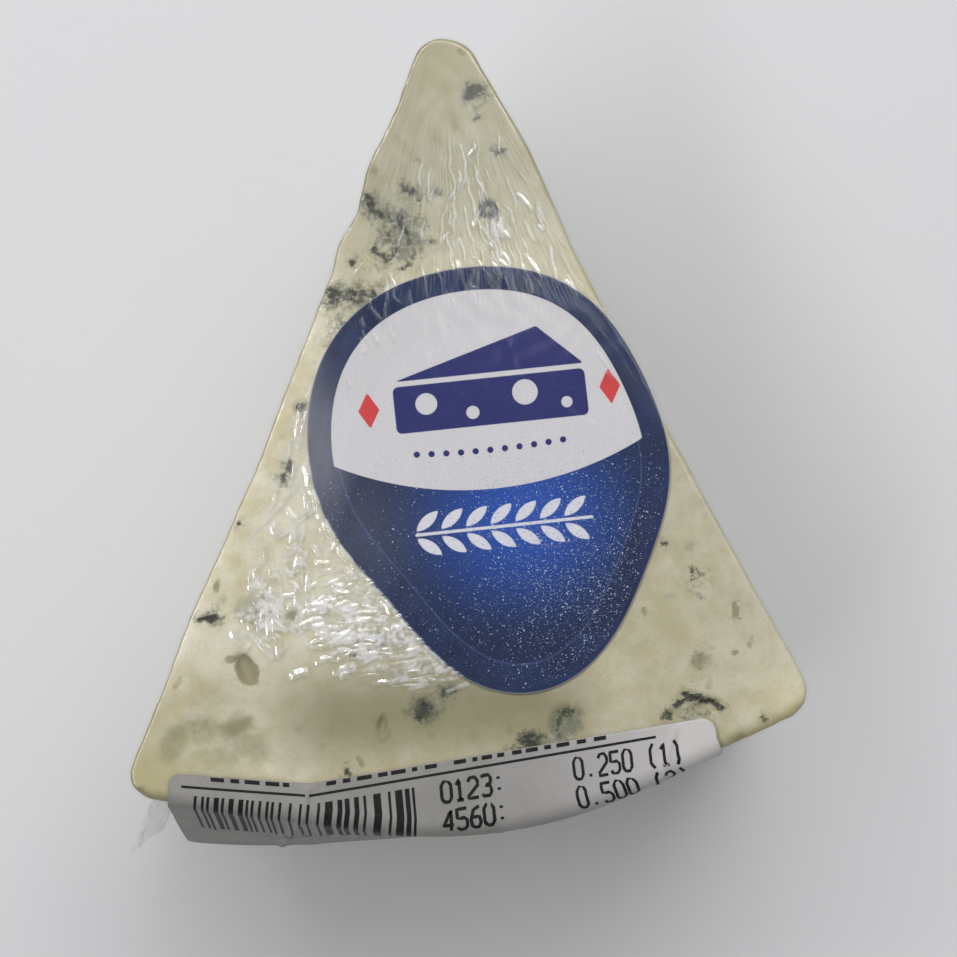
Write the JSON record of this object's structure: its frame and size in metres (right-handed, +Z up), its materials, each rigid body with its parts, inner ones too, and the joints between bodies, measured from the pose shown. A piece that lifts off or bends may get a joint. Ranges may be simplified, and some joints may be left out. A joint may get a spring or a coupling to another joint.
{
  "type": "film-wrapped blue cheese wedge",
  "caption": "Wedge of blue-veined cheese lying on its flat cut face, in tight clear film, with a round-topped front label and a paper price sticker folded over the rind.",
  "frame": {"origin": "middle of the underside of the object's box, on the surface the wedge lies on", "axes": "+Z up through the thickness; +Y from the rind towards the point of the wedge, along the middle line of its two cut sides; +X to the right when the front label is read from the rind side"},
  "size_m": [0.0734, 0.0868, 0.0465],
  "materials": {
    "wrapped_cheese": "cream cheese with blue-green mould under glossy clear film",
    "front_label": "coated paper, navy with a white field, under film",
    "price_sticker": "white thermal paper with black print",
    "film_ear": "clear crumpled film"
  },
  "bodies": {
    "root": {"wrapped_cheese": "wrapped_cheese", "front_label": "front_label", "price_sticker": "price_sticker", "film_ear": "film_ear"}
  },
  "joints": []
}
